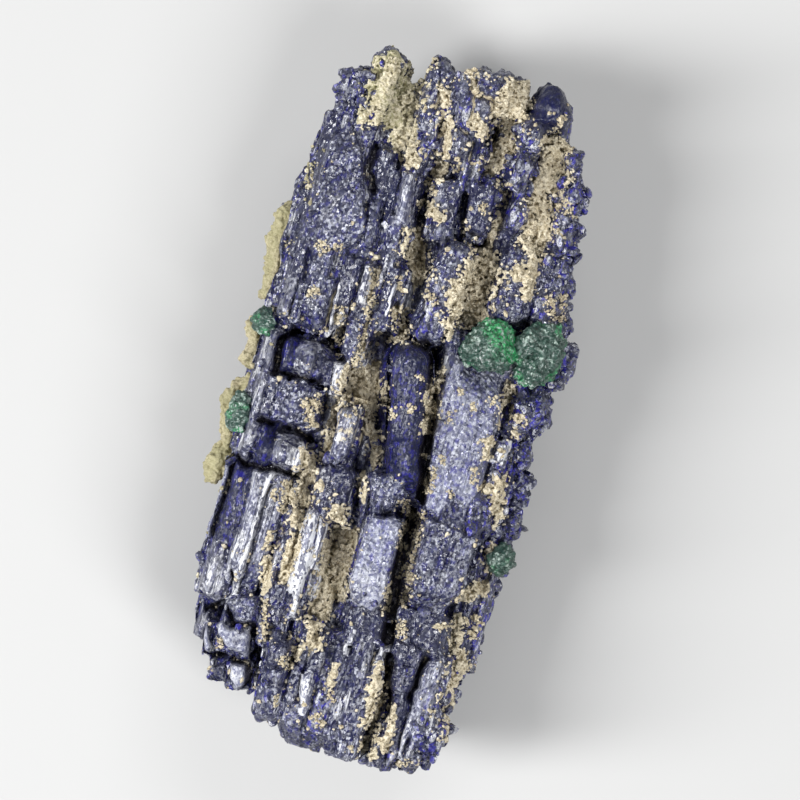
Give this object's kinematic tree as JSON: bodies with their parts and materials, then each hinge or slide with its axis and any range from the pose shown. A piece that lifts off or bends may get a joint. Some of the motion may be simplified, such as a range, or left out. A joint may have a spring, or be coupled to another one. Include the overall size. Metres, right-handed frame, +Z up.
{
  "type": "azurite specimen",
  "caption": "Bladed azurite crystal cluster with malachite nodules and an earthy crust, a loose mineral specimen lying on its back with its display face up.",
  "frame": {"origin": "in the resting plane, under the middle of the specimen's bounding box", "axes": "+X across the blades to the right of the display face, +Y along the blades from the foot to the crown, +Z up out of the display face"},
  "size_m": [0.0232, 0.05, 0.0148],
  "materials": {
    "azurite": "glassy to frosted faces, deep blue",
    "malachite": "silky to frosted, green",
    "crust": "dull granular earth, tan"
  },
  "bodies": {
    "root": {"azurite_crystal": "azurite", "malachite_round_nodule": "malachite", "malachite_blocky_nodule": "malachite", "malachite_left_upper_patch": "malachite", "malachite_left_lower_patch": "malachite", "malachite_right_patch": "malachite", "crust_crown": "crust", "crust_crown_right": "crust", "crust_upper_seam": "crust", "crust_upper_right": "crust", "crust_centre_right": "crust", "crust_finger_left": "crust", "crust_finger_right": "crust", "crust_left_seam": "crust", "crust_lower_seam": "crust", "crust_right_seam": "crust", "crust_foot_seam": "crust", "crust_foot_right": "crust", "crust_left_edge_upper": "crust", "crust_left_edge_middle": "crust", "crust_left_edge_lower": "crust"}
  },
  "joints": []
}
